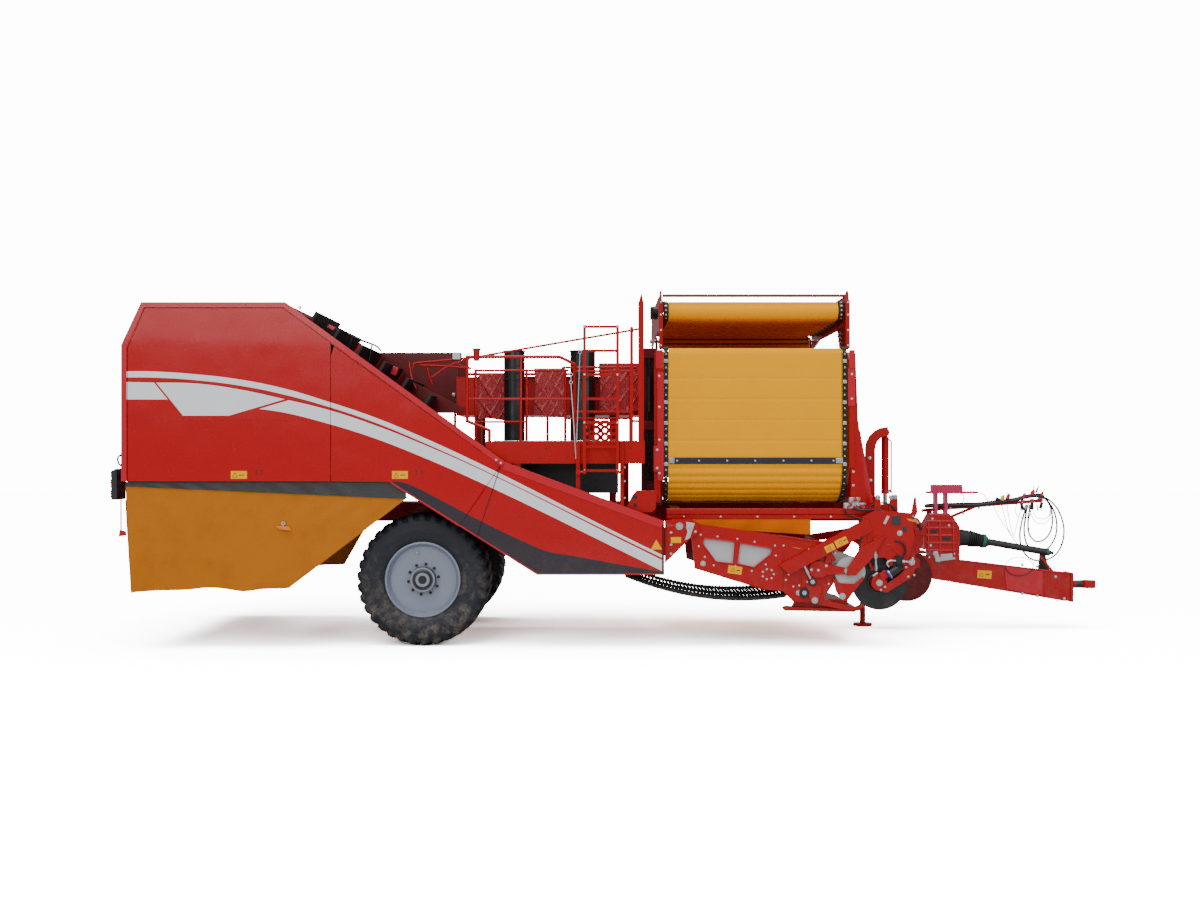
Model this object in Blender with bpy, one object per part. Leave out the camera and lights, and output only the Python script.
"""Two-row trailed potato harvester with a bunker, parked on its jack.

Metres, +Z up, +X towards the drawbar eye, +Y towards the machine's left side.
The origin lies on the floor, under the middle of the overall box.
"""

import math

import bmesh
import bpy
from mathutils import Matrix, Vector

GAP = 0.0003
JOIN = 0.006

# Overall body
SIDE_Y = 1.65
SKIN = 0.04
RING = 0.055
HOOD_REAR_X = -5.49
HOOD_TOP_Z = 3.72
HOOD_SHOULDER_Z = 3.26
HOOD_CORNER_X = -5.276
HOOD_FRONT_X = -3.735
SKIN_LOW_Z = 1.80
KNEE_X, KNEE_Z = -1.381, 2.008
NOSE_X, NOSE_TOP_Z, NOSE_LOW_Z = 0.321, 1.377, 0.799
BELLY_X = -1.038
WHEEL_ARCH_X = -2.622
SEAM_X = -3.245
DOOR_GAP = 0.006

# Chassis rails
RAIL_Y = (0.02, 0.50)
RAIL_WIDTH = 0.12
RAIL_LOW_Z, RAIL_TOP_Z = 1.30, 1.52
RAIL_REAR_X, RAIL_FRONT_X = -4.9, 2.75

# Running gear
WHEEL_X = -2.295
WHEEL_Y = 1.095
WHEEL_Z = 0.725
TYRE_WIDTH = 0.70
TYRE_SIDES = 40
RIM_RADIUS = 0.4025
RIM_WALL = 0.02
DISC_Y = 1.30
HUB_RADIUS = 0.135
STUB_RADIUS = 0.06
KNUCKLE_HUB = 0.10
KINGPIN_Y = 0.62
KINGPIN_RADIUS = 0.045
STEER_ARM = 0.30

# Side channel and conveyor
CHANNEL_Y = (-1.50, -0.15)
INNER_WALL = 0.05
WEB_THICK = 0.22
WEB_PATH = ((0.20, 1.06), (-1.381, 1.40), (-2.622, 2.25), (-3.735, 3.08), (-4.1, 3.28))

# Digging unit
INTAKE_X, INTAKE_Z = 0.615, 1.307
PIVOT_RADIUS = 0.03
PIN_CLEAR = 0.0005
INTAKE_OUT_Y = -1.56
INTAKE_IN_Y = -0.10
INTAKE_PLATE = 0.04

# Bunker
BUNKER_REAR_X, BUNKER_FRONT_X = 0.27, 2.37
BUNKER_WALL = 0.06
BUNKER_TOP_Z = 3.22
BUNKER_OUT_Y = -1.26
BELT_REAR_X, BELT_FRONT_X = 0.405, 2.299
BELT_THICK = 0.18
BELT_TOP_Z = 3.242
BELT_BOTTOM_Z = 1.567
BELT_CURVE_Z = 1.95
BELT_LEFT_Y = 1.20

# Unloading elevator
LOWER_PIVOT_Y, LOWER_PIVOT_Z = 1.36, 1.66
UPPER_PIVOT_Y, UPPER_PIVOT_Z = 1.42, 3.55
ELEVATOR_PIN = 0.025
LOWER_PLATE_X = (0.345, 0.385)
UPPER_PLATE_X = (0.290, 0.335)

# Drawbar
SWING_X, DRAWBAR_Y = 3.45, 0.26
DRAWBAR_HALF = 0.12
EYE_X = 5.62
EYE_Z = 0.524

# Service ladder
LADDER_Y, LADDER_Z = -1.645, 1.90

# Jack
JACK_X, JACK_Y = 2.844, 0.45
JACK_TUBE_LOW_Z = 0.30
JACK_LEG_RADIUS = 0.035
JACK_TUBE_RADIUS = 0.05

COLOURS = {
    "red_paint": ((0.55, 0.012, 0.018), 0.32, 0.1),
    "dark_red": ((0.30, 0.008, 0.012), 0.45, 0.1),
    "grey_paint": ((0.42, 0.43, 0.45), 0.40, 0.3),
    "slate_paint": ((0.035, 0.037, 0.045), 0.45, 0.1),
    "yellow_belt": ((0.90, 0.52, 0.015), 0.45, 0.0),
    "yellow_sheet": ((0.90, 0.50, 0.012), 0.50, 0.0),
    "black_rubber": ((0.015, 0.015, 0.016), 0.75, 0.0),
    "tyre_rubber": ((0.018, 0.020, 0.024), 0.80, 0.0),
    "rim_paint": ((0.55, 0.57, 0.60), 0.38, 0.3),
    "steel": ((0.45, 0.45, 0.46), 0.35, 0.9),
    "dark_steel": ((0.05, 0.05, 0.055), 0.50, 0.7),
}

AXLE_RADIUS = 0.02

MATERIALS = {}
EMPTIES = {}


# ---------------------------------------------------------------- tools

def clear_scene():
    """Remove what the startup file holds."""
    for obj in list(bpy.data.objects):
        bpy.data.objects.remove(obj, do_unlink=True)


def make_materials():
    """One Principled material for each finish."""
    for name, (colour, roughness, metallic) in COLOURS.items():
        material = bpy.data.materials.new(name)
        material.use_nodes = True
        shader = material.node_tree.nodes["Principled BSDF"]
        shader.inputs["Base Color"].default_value = (*colour, 1.0)
        shader.inputs["Roughness"].default_value = roughness
        shader.inputs["Metallic"].default_value = metallic
        material.diffuse_color = (*colour, 1.0)
        MATERIALS[name] = material


def closed(bm):
    """Turn a shell's faces outwards."""
    bmesh.ops.recalc_face_normals(bm, faces=bm.faces)
    return bm


def prism(points, axis, low, high):
    """An outline carried along one axis, from low to high."""
    bm = bmesh.new()
    spots = {
        "X": lambda a, b: (low, a, b),
        "Y": lambda a, b: (a, low, b),
        "Z": lambda a, b: (a, b, low),
    }
    along = {"X": (1, 0, 0), "Y": (0, 1, 0), "Z": (0, 0, 1)}[axis]
    face = bm.faces.new([bm.verts.new(spots[axis](a, b)) for a, b in points])
    out = bmesh.ops.extrude_face_region(bm, geom=[face])
    moved = [item for item in out["geom"] if isinstance(item, bmesh.types.BMVert)]
    bmesh.ops.translate(bm, verts=moved, vec=Vector(along) * (high - low))
    return closed(bm)


def box(x, y, z):
    """A block between two corners, given as three pairs."""
    low_x, high_x = min(x), max(x)
    points = ((low_x, min(y)), (high_x, min(y)), (high_x, max(y)), (low_x, max(y)))
    return prism(points, "Z", min(z), max(z))


def rod(start, end, radius, sides=8, end_radius=None):
    """A round bar, or a cone, between two points."""
    start, end = Vector(start), Vector(end)
    run = end - start
    turn = run.to_track_quat("Z", "Y").to_matrix().to_4x4()
    place = Matrix.Translation((start + end) / 2) @ turn
    bm = bmesh.new()
    bmesh.ops.create_cone(
        bm,
        cap_ends=True,
        segments=sides,
        radius1=radius,
        radius2=radius if end_radius is None else end_radius,
        depth=run.length,
        matrix=place,
    )
    return closed(bm)


def turned(profile, centre, axis, sides):
    """A closed ring section, (radius, offset) pairs, spun about an axis."""
    bm = bmesh.new()
    along = {"X": Vector((1, 0, 0)), "Y": Vector((0, 1, 0)), "Z": Vector((0, 0, 1))}[axis]
    out = Vector((0, 0, 1)) if axis != "Z" else Vector((1, 0, 0))
    centre = Vector(centre)
    ring = [bm.verts.new(centre + out * r + along * o) for r, o in profile]
    edges = [bm.edges.new((a, b)) for a, b in zip(ring, ring[1:] + ring[:1])]
    half = Matrix.Rotation(math.pi / sides, 3, along)
    bmesh.ops.rotate(bm, cent=centre, matrix=half, verts=ring)
    bmesh.ops.spin(
        bm, geom=ring + edges, cent=centre, axis=along, angle=math.tau, steps=sides,
        use_merge=True,
    )
    bmesh.ops.remove_doubles(bm, verts=bm.verts, dist=1e-5)
    return closed(bm)


def wheel_disc(centre, axis, radius, low, high, sides):
    """A round plate about an axis, with a flat at its lowest point."""
    points = []
    for step in range(sides):
        angle = math.tau * (step + 0.5) / sides
        points.append((radius * math.sin(angle), radius * math.cos(angle)))
    first, second = {"X": (1, 2), "Y": (0, 2), "Z": (0, 1)}[axis]
    moved = [(centre[first] + a, centre[second] + b) for a, b in points]
    return prism(moved, axis, low, high)


def band(path, thickness, low, high, axis="Y"):
    """A strip of even thickness that follows an open path, carried sideways."""
    left, right = [], []
    for index, spot in enumerate(path):
        before = Vector(path[max(index - 1, 0)])
        after = Vector(path[min(index + 1, len(path) - 1)])
        here = Vector(spot)
        first = (here - before).normalized() if index else (after - here).normalized()
        last = (after - here).normalized() if index < len(path) - 1 else first
        middle = (first + last).normalized()
        side = Vector((-middle.y, middle.x))
        reach = thickness / 2 / max(side.dot(Vector((-first.y, first.x))), 0.3)
        left.append(here + side * reach)
        right.append(here - side * reach)
    outline = [tuple(p) for p in left] + [tuple(p) for p in reversed(right)]
    return prism(outline, axis, low, high)


def pipe(points, radius, sides=10):
    """A bent round bar: rings on the mitre planes of a path, bridged."""
    bm = bmesh.new()
    spots = [Vector(p) for p in points]
    rings = []
    up = Vector((0, 1, 0))
    for index, spot in enumerate(spots):
        before = (spot - spots[index - 1]).normalized() if index else None
        after = (spots[index + 1] - spot).normalized() if index < len(spots) - 1 else None
        run = before if after is None else after if before is None else (before + after).normalized()
        flat = (before or after).cross(run)
        side = up.cross(run).normalized()
        top = run.cross(side).normalized()
        stretch = 1.0 / max((before or after).dot(run), 0.5)
        bend = (flat.normalized().cross(run)).normalized() if flat.length > 1e-6 else side
        ring = []
        for step in range(sides):
            angle = math.tau * step / sides
            offset = (side * math.cos(angle) + top * math.sin(angle)) * radius
            offset += bend * offset.dot(bend) * (stretch - 1.0)
            ring.append(bm.verts.new(spot + offset))
        rings.append(ring)
    for first, second in zip(rings, rings[1:]):
        for step in range(sides):
            after = (step + 1) % sides
            bm.faces.new((first[step], first[after], second[after], second[step]))
    bm.faces.new(rings[0])
    bm.faces.new(rings[-1])
    return closed(bm)


def add_object(name, bm, group=None):
    """Put a mesh into the scene, or into one of its collections."""
    mesh = bpy.data.meshes.new(name)
    bm.to_mesh(mesh)
    bm.free()
    obj = bpy.data.objects.new(name, mesh)
    (group or bpy.context.scene.collection).objects.link(obj)
    return obj


def helper(name, shells):
    """A hidden collection of operands for a Boolean modifier."""
    group = bpy.data.collections.new(name)
    bpy.context.scene.collection.children.link(group)
    group.hide_render = True
    for index, shell in enumerate(shells):
        obj = add_object(name + str(index), shell, group)
        obj.hide_render = True
        obj.display_type = "WIRE"
    return group


def combine(obj, operation, operands):
    """One exact Boolean on the object."""
    modifier = obj.modifiers.new(operation.title(), "BOOLEAN")
    modifier.operation = operation
    modifier.solver = "EXACT"
    modifier.operand_type = "COLLECTION"
    modifier.collection = operands


def node(name, material, shells, cuts=(), body=None, smooth=False):
    """A named solid: its shells united, its cuts taken away, on its moving body."""
    obj = add_object(name, shells[0])
    obj.data.materials.append(MATERIALS[material])
    if len(shells) > 1:
        combine(obj, "UNION", helper(name + "_add", shells[1:]))
    if cuts:
        combine(obj, "DIFFERENCE", helper(name + "_cut", list(cuts)))
    if smooth:
        obj.data.shade_smooth()
        obj.data.set_sharp_from_angle(angle=math.radians(35))
    if body:
        obj.parent = EMPTIES[body]
        obj.matrix_parent_inverse = Matrix.Translation(-JOINTS[body][0])
    return obj


# ---------------------------------------------------------------- joints

JOINTS = {
    "rear_door": (Vector((-4.5, -SIDE_Y - 0.001, 3.658)), None),
    "middle_door": (Vector((SEAM_X + 0.0017, -SIDE_Y - 0.001, 3.2724)), None),
    "ladder": (Vector((-0.36, LADDER_Y, LADDER_Z)), None),
    "knuckle_right": (Vector((WHEEL_X, -KINGPIN_Y, WHEEL_Z)), None),
    "knuckle_left": (Vector((WHEEL_X, KINGPIN_Y, WHEEL_Z)), None),
    "wheel_right": (Vector((WHEEL_X, -WHEEL_Y, WHEEL_Z)), "knuckle_right"),
    "wheel_left": (Vector((WHEEL_X, WHEEL_Y, WHEEL_Z)), "knuckle_left"),
    "tie_rod": (Vector((WHEEL_X + STEER_ARM, KINGPIN_Y, WHEEL_Z)), "knuckle_left"),
    "intake": (Vector((INTAKE_X, -0.8, INTAKE_Z)), None),
    "lift_barrel": (Vector((2.86, -0.81, 2.34)), None),
    "lift_rod": (Vector((2.86, -0.81, 2.34)), "lift_barrel"),
    "disc_right": (Vector((2.66, -1.48, 0.708)), "intake"),
    "disc_left": (Vector((3.27, -0.06, 0.65)), "intake"),
    "roller_right": (Vector((2.33, -1.3, 0.826)), "intake"),
    "roller_left": (Vector((2.33, -0.4, 0.826)), "intake"),
    "elevator_lower": (Vector((1.352, LOWER_PIVOT_Y, LOWER_PIVOT_Z)), None),
    "elevator_upper": (Vector((1.352, UPPER_PIVOT_Y, UPPER_PIVOT_Z)), "elevator_lower"),
    "drawbar": (Vector((SWING_X, DRAWBAR_Y, 0.74)), None),
    "jack": (Vector((JACK_X, JACK_Y, 0.0)), None),
}


def make_empties():
    """An empty on the axis of each moving body."""
    for name, (spot, parent) in JOINTS.items():
        empty = bpy.data.objects.new("axis_" + name, None)
        empty.empty_display_size = 0.15
        empty.location = spot
        if parent:
            empty.parent = EMPTIES[parent]
            empty.location = spot - JOINTS[parent][0]
        bpy.context.scene.collection.objects.link(empty)
        EMPTIES[name] = empty


# ---------------------------------------------------------------- chassis

def rail(y):
    """One chassis rail."""
    span = (y - RAIL_WIDTH / 2, y + RAIL_WIDTH / 2)
    return box((RAIL_REAR_X, RAIL_FRONT_X), span, (RAIL_LOW_Z, RAIL_TOP_Z))


def frame_rails():
    """Rails, crossmembers, jack tube and the headstock with its swing ears."""
    inner, outer = RAIL_Y[0] - 0.06, RAIL_Y[1] + 0.06
    low, top = RAIL_LOW_Z + 0.08, RAIL_TOP_Z - 0.02
    shells = [rail(RAIL_Y[0]), rail(RAIL_Y[1])]
    ring_y = SIDE_Y - SKIN - RING - GAP
    shells.append(box((RAIL_REAR_X, RAIL_REAR_X + 0.12), (-ring_y, ring_y), (low, top)))
    shells.append(box((-1.25, -1.15), (-SIDE_Y + SKIN + GAP, 0.56), (1.09, 1.17)))
    shells.append(box((-1.25, -1.15), (inner, outer), (1.09, RAIL_LOW_Z + JOIN)))
    shells.append(box((0.42, 0.52), (-1.29, outer), (low, top)))
    shells.append(box((2.50, 2.62), (-1.29, outer), (low, top)))
    shells.append(box((-3.6, -3.5), (inner, outer), (low, top)))
    shells.append(prism(HEADSTOCK, "Y", DRAWBAR_Y - 0.15, DRAWBAR_Y + 0.15))
    shells.append(box((2.70, 3.05), (inner + JOIN, outer - JOIN), (RAIL_LOW_Z + 0.02, RAIL_TOP_Z - 0.03)))
    for low_z, high_z in ((0.56, 0.59), (0.90, 0.93)):
        shells.append(box((3.2, SWING_X + 0.10), (DRAWBAR_Y - 0.10, DRAWBAR_Y + 0.10), (low_z, high_z)))
    shells.append(rod((SWING_X, DRAWBAR_Y, 0.57), (SWING_X, DRAWBAR_Y, 0.92), PIVOT_RADIUS, 16))
    tube_top = RAIL_LOW_Z + 0.04
    tube = (JACK_X, JACK_Y)
    shells.append(rod((*tube, JACK_TUBE_LOW_Z), (*tube, tube_top), JACK_TUBE_RADIUS, 16))
    bore = rod((*tube, JACK_TUBE_LOW_Z - 0.1), (*tube, tube_top - 0.05), JACK_LEG_RADIUS + GAP * 2, 16)
    node("frame_rails", "red_paint", shells, cuts=[bore])


HEADSTOCK = (
    (2.95, 1.50), (3.28, 1.38), (3.33, 0.96), (3.33, 0.50), (3.18, 0.50), (3.14, 0.98), (2.95, 1.32),
)


def axle_beam():
    """Beam between the kingpins, hung under the rails."""
    reach = KINGPIN_Y - 0.16
    shells = [box((WHEEL_X - 0.10, WHEEL_X + 0.10), (-reach, reach), (0.62, 0.83))]
    for side in (-1, 1):
        for low_z, high_z in ((0.56, 0.60), (0.85, 0.89)):
            span = sorted((side * (reach - 0.06), side * (KINGPIN_Y + 0.06)))
            shells.append(box((WHEEL_X - 0.07, WHEEL_X + 0.07), span, (low_z, high_z)))
        inner = sorted((side * (reach - 0.06), side * (reach - 0.01)))
        shells.append(box((WHEEL_X - 0.07, WHEEL_X + 0.07), inner, (0.57, 0.88)))
        pin = (WHEEL_X, side * KINGPIN_Y)
        shells.append(rod((*pin, 0.57), (*pin, 0.88), KINGPIN_RADIUS, 16))
    for y in (RAIL_Y[0] - 0.03, RAIL_Y[1] - 0.055):
        shells.append(box((WHEEL_X - 0.16, WHEEL_X + 0.16), (y, y + 0.03), (0.80, RAIL_LOW_Z - GAP)))
    node("axle_beam", "red_paint", shells)


def jack_leg():
    """Sliding leg and foot plate."""
    tube = (JACK_X, JACK_Y)
    shells = [
        rod((*tube, 0.02), (*tube, RAIL_LOW_Z - 0.40), JACK_LEG_RADIUS, 16),
        wheel_disc((JACK_X, JACK_Y, 0), "Z", 0.115, 0.0, 0.03, 24),
    ]
    node("jack_leg", "red_paint", shells, body="jack")


# ---------------------------------------------------------------- running gear

def knuckle(side, name):
    """Kingpin housing, stub axle and steering arm."""
    pin_y = side * KINGPIN_Y
    pin = (WHEEL_X, pin_y)
    shells = [
        rod((*pin, 0.62), (*pin, 0.83), 0.075, 20),
        rod((WHEEL_X, pin_y + side * 0.055, WHEEL_Z), (WHEEL_X, side * 1.24, WHEEL_Z), STUB_RADIUS, 20),
        rod((WHEEL_X, side * 1.05, WHEEL_Z), (WHEEL_X, side * 1.36, WHEEL_Z), KNUCKLE_HUB, 24),
        box((WHEEL_X + 0.02, WHEEL_X + STEER_ARM + 0.035), (pin_y - 0.03, pin_y + 0.03), (0.77, 0.80)),
    ]
    arm_pin = (WHEEL_X + STEER_ARM, pin_y)
    shells.append(rod((*arm_pin, 0.70), (*arm_pin, 0.78), 0.014, 12))
    bore = rod((*pin, 0.5), (*pin, 0.95), KINGPIN_RADIUS + 0.001, 20)
    node("knuckle_" + name, "dark_steel", shells, cuts=[bore], body="knuckle_" + name)


def tie_rod():
    """Bar that keeps both knuckles parallel."""
    x = WHEEL_X + STEER_ARM
    shells = [rod((x, -KINGPIN_Y, 0.735), (x, KINGPIN_Y, 0.735), 0.018, 12)]
    cuts = []
    for end in (-KINGPIN_Y, KINGPIN_Y):
        shells.append(wheel_disc((x, end, 0), "Z", 0.03, 0.715, 0.755, 16))
        cuts.append(rod((x, end, 0.6), (x, end, 0.9), 0.0146, 12))
    node("tie_rod", "dark_steel", shells, cuts=cuts, body="tie_rod")


def tyre(side, name):
    """Wide low-pressure tyre, open at the bead."""
    radius = WHEEL_Z / math.cos(math.pi / TYRE_SIDES)
    half = TYRE_WIDTH / 2
    bead = RIM_RADIUS + RIM_WALL / 2 + GAP
    profile = (
        (bead, -half + 0.05), (bead + 0.05, -half + 0.02), (radius - 0.14, -half),
        (radius - 0.045, -half + 0.03),
        (radius, -half + 0.09), (radius, half - 0.09), (radius - 0.045, half - 0.03), (radius - 0.14, half),
        (bead + 0.05, half - 0.02), (bead, half - 0.05),
    )
    shell = turned(profile, (WHEEL_X, side * WHEEL_Y, WHEEL_Z), "Y", TYRE_SIDES)
    node("tyre_" + name, "tyre_rubber", [shell], body="wheel_" + name, smooth=True)


def rim(side, name):
    """Rim barrel, dished disc and hub, turned in one section about the axle."""
    centre = (WHEEL_X, side * WHEEL_Y, WHEEL_Z)
    half = TYRE_WIDTH / 2
    disc = side * (DISC_Y - WHEEL_Y)
    outer = RIM_RADIUS + 0.01
    seat = half - 0.052
    inner = outer - RIM_WALL
    barrel = (
        (outer, -seat), (outer, seat), (inner, seat), (inner - 0.03, seat - 0.06),
        (inner - 0.03, -seat + 0.06),
        (inner, -seat),
    )
    hub_bore = (KNUCKLE_HUB + 0.0006) / math.cos(math.pi / 24)
    face_low, face_high = sorted((disc - side * 0.012, disc + side * 0.012))
    plate = turned(
        ((inner - 0.01, face_low), (inner - 0.01, face_high), (hub_bore + 0.008, face_high),
         (hub_bore + 0.008, face_low)),
        centre, "Y", TYRE_SIDES,
    )
    hub_low, hub_high = sorted((disc - side * 0.05, disc + side * 0.10))
    hub = turned(
        ((HUB_RADIUS, hub_low), (HUB_RADIUS, hub_high), (hub_bore, hub_high), (hub_bore, hub_low)),
        centre, "Y", 24,
    )
    cap_y = side * (DISC_Y + 0.075)
    cap = rod((WHEEL_X, cap_y, WHEEL_Z), (WHEEL_X, cap_y + side * 0.035, WHEEL_Z), 0.11, 24)
    node("rim_" + name, "rim_paint", [turned(barrel, centre, "Y", TYRE_SIDES), plate, hub, cap],
         body="wheel_" + name, smooth=True)


# ---------------------------------------------------------------- rear housing

SIDE_OUTLINE = (
    (HOOD_REAR_X, SKIN_LOW_Z), (HOOD_REAR_X, HOOD_SHOULDER_Z), (HOOD_CORNER_X, HOOD_TOP_Z),
    (HOOD_FRONT_X, HOOD_TOP_Z), (KNEE_X, KNEE_Z), (NOSE_X, NOSE_TOP_Z), (NOSE_X, NOSE_LOW_Z),
    (BELLY_X, NOSE_LOW_Z), (WHEEL_ARCH_X, SKIN_LOW_Z - DOOR_GAP),
)
REAR_DOOR = (
    (-5.42, SKIN_LOW_Z), (-5.42, 3.22), (-5.235, 3.655), (-3.76, 3.655), (SEAM_X - DOOR_GAP, 3.285),
    (SEAM_X - DOOR_GAP, SKIN_LOW_Z),
)
MIDDLE_OPENING = (
    (SEAM_X, SKIN_LOW_Z), (SEAM_X, 3.27), (-1.43, 1.972), (-1.877, 1.318),
    (WHEEL_ARCH_X, SKIN_LOW_Z - DOOR_GAP),
)
# The door's upper rear corner is cut back, so that it clears the rear door as it swings up.
MIDDLE_DOOR = (MIDDLE_OPENING[0], (SEAM_X, 3.14), (-3.212, 3.2464), *MIDDLE_OPENING[2:])


def grown(points, by):
    """The outline pushed outwards by a distance, corner by corner."""
    area = sum(a[0] * b[1] - b[0] * a[1] for a, b in zip(points, points[1:] + points[:1]))
    sign = 1 if area > 0 else -1
    out = []
    count = len(points)
    for index in range(count):
        here = Vector(points[index])
        first = (here - Vector(points[index - 1])).normalized()
        last = (Vector(points[(index + 1) % count]) - here).normalized()
        side = Vector((first.y + last.y, -first.x - last.x)).normalized() * sign
        reach = by / max(abs(side.dot(Vector((first.y, -first.x)))), 0.35)
        out.append(tuple(here + side * reach))
    return tuple(out)


def skin_span(side=-1):
    """The y limits of a side skin."""
    return tuple(sorted((side * SIDE_Y, side * (SIDE_Y - SKIN))))


def ring_span(side=-1):
    """The y limits of the welded ring behind a skin."""
    outer = SIDE_Y - SKIN - GAP
    return tuple(sorted((side * outer, side * (outer - RING))))


def side_frame():
    """Fixed right skin: everything around and ahead of the two doors."""
    low, high = skin_span()
    cuts = [
        prism(grown(REAR_DOOR, DOOR_GAP), "Y", low - 0.1, high + 0.1),
        prism(grown(MIDDLE_OPENING, DOOR_GAP), "Y", low - 0.1, high + 0.1),
        box((-5.42 - DOOR_GAP, -2.5), (low - 0.1, high + 0.1), (1.5, 1.9)),
    ]
    node("side_panel_front", "red_paint", [prism(SIDE_OUTLINE, "Y", low, high)], cuts=cuts)


def doors():
    """The two side doors, hinged at their top edges."""
    low, high = skin_span()
    node("rear_side_door", "red_paint", [prism(REAR_DOOR, "Y", low, high)], body="rear_door")
    node("middle_side_door", "red_paint", [prism(MIDDLE_DOOR, "Y", low, high)], body="middle_door")


def housing_frame():
    """Welded ring behind the right skin with a lower rail and rear posts."""
    low, high = ring_span()
    inner = grown(SIDE_OUTLINE, -0.07)
    outer = grown(SIDE_OUTLINE, -0.004)
    hole = prism(inner, "Y", low - 0.1, high + 0.1)
    node("housing_frame", "red_paint", [prism(outer, "Y", low, high)], cuts=[hole])


def skirt_rail():
    """Dark rail under the right skin, with the post that stands on the chassis."""
    low, high = ring_span()
    top = SKIN_LOW_Z - DOOR_GAP + 0.0037 - GAP
    strip = ((SHEET_REAR_X + GAP, 1.62), (-2.43, 1.62), (-2.63, 1.745), (-2.68, top),
        (SHEET_REAR_X + GAP, top))
    post = box((RAIL_REAR_X, RAIL_REAR_X + 0.12), (low, high), (RAIL_TOP_Z - 0.02 + GAP, 1.70))
    node("skirt_rail", "slate_paint", [prism(strip, "Y", low, high), post])


SHEET_REAR_X = -5.450
LEFT_OUTLINE = (
    (HOOD_REAR_X, SKIN_LOW_Z), (HOOD_REAR_X, HOOD_SHOULDER_Z), (HOOD_CORNER_X, HOOD_TOP_Z),
    (HOOD_FRONT_X, HOOD_TOP_Z), (-3.1, 3.25), (-3.1, SKIN_LOW_Z),
)


def left_side_panel():
    """Left wall of the rear housing with its lower rail and posts."""
    low, high = skin_span(1)
    post_low, post_high = ring_span(1)
    post_x = (RAIL_REAR_X, RAIL_REAR_X + 0.12)
    shells = [
        prism(LEFT_OUTLINE, "Y", low, high),
        box(post_x, (post_low, post_high), (RAIL_TOP_Z - 0.02 + GAP, 2.4)),
        box(post_x, (post_low + 0.01, low + 0.01), (SKIN_LOW_Z + 0.02, 2.38)),
        box((SHEET_REAR_X + GAP, -3.1), (post_low + 0.005, post_high), (1.62, SKIN_LOW_Z + 0.05)),
        box((-5.40, -3.2), (post_low + 0.02, low + 0.02), (SKIN_LOW_Z + 0.01, SKIN_LOW_Z + 0.04)),
    ]
    node("left_side_panel", "red_paint", shells)


def rear_wall():
    """Rear sheet that folds over into the hood's roof."""
    reach = SIDE_Y - SKIN - RING - 3 * GAP
    path = (
        (HOOD_REAR_X + 0.02, SKIN_LOW_Z), (HOOD_REAR_X + 0.02, HOOD_SHOULDER_Z),
        (HOOD_CORNER_X + 0.01, HOOD_TOP_Z - 0.03), (HOOD_FRONT_X, HOOD_TOP_Z - 0.03),
    )
    shells = [band(path, 0.035, -reach, reach)]
    low_y = reach - 0.004
    shells.append(box((SHEET_REAR_X + GAP, -5.38), (-low_y, low_y), (1.64, SKIN_LOW_Z + 0.05)))
    shells.append(box((-5.48, -5.39), (-low_y + 0.01, low_y - 0.01),
        (SKIN_LOW_Z + 0.01, SKIN_LOW_Z + 0.04)))
    node("rear_wall", "red_paint", shells)


def tail_lights():
    """Lamp boards that hang behind the rear corners."""
    for side, name in ((-1, "right"), (1, "left")):
        span = sorted((side * 1.30, side * 1.58))
        shells = [
            box((-EYE_X, -EYE_X + 0.06), span, (1.60, 1.92)),
            box((-5.58, HOOD_REAR_X + 0.0025 - GAP), sorted((side * 1.40, side * 1.46)), (1.82, 1.88)),
        ]
        node("tail_light_" + name, "dark_steel", shells)


def tarp_skirt():
    """Sheet that closes the sides and the rear below the housing."""
    face = SIDE_Y - SKIN
    thick = 0.012
    back = SHEET_REAR_X - thick
    side = (
        (back, 1.785), (-2.412, 1.625), (-3.667, 0.651), (-4.30, 0.640), (-5.400, 0.614), (back, 1.58),
    )
    rear = (
        (back, 1.785), (SHEET_REAR_X, 1.785), (SHEET_REAR_X, 1.58), (-5.400 + thick, 0.614),
        (-5.400, 0.614),
        (back, 1.58),
    )
    shells = [
        prism(side, "Y", -face - thick, -face),
        prism(side[:1] + ((-3.12, 1.66),) + side[2:], "Y", face, face + thick),
        prism(rear, "Y", -face - thick / 2, face + thick / 2),
    ]
    node("tarp_skirt", "yellow_sheet", shells)


# ---------------------------------------------------------------- conveyors

def inner_wall():
    """Wall between the side channel and the chassis."""
    outline = (
        (-4.3, 2.0), (-4.3, 3.60), (HOOD_FRONT_X, 3.60), (KNEE_X - 0.02, KNEE_Z - 0.06),
        (NOSE_X, NOSE_TOP_Z - 0.06),
        (NOSE_X, NOSE_LOW_Z), (BELLY_X, NOSE_LOW_Z), (-2.45, 1.60), (-3.0, 2.0),
    )
    far = RAIL_Y[0] - RAIL_WIDTH / 2 - GAP
    cut = box((-1.2515, -1.1485), (-0.4, 0.1), (1.0885, 1.1715))
    node("channel_inner_wall", "red_paint", [prism(outline, "Y", far - INNER_WALL, far)], cuts=[cut])


def main_web():
    """Rod web that climbs the side channel, with its end shafts."""
    wall = RAIL_Y[0] - RAIL_WIDTH / 2 - GAP - INNER_WALL
    shells = [band(WEB_PATH, WEB_THICK, *CHANNEL_Y)]
    ring_y = -SIDE_Y + SKIN + GAP
    start, end = WEB_PATH[0], WEB_PATH[-1]
    shells.append(rod((start[0], ring_y, start[1]), (start[0], wall - GAP, start[1]), 0.035))
    shells.append(rod((end[0], CHANNEL_Y[0] + 0.05, end[1]), (end[0], wall - GAP, end[1]), 0.035))
    node("main_web", "dark_steel", shells)


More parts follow.
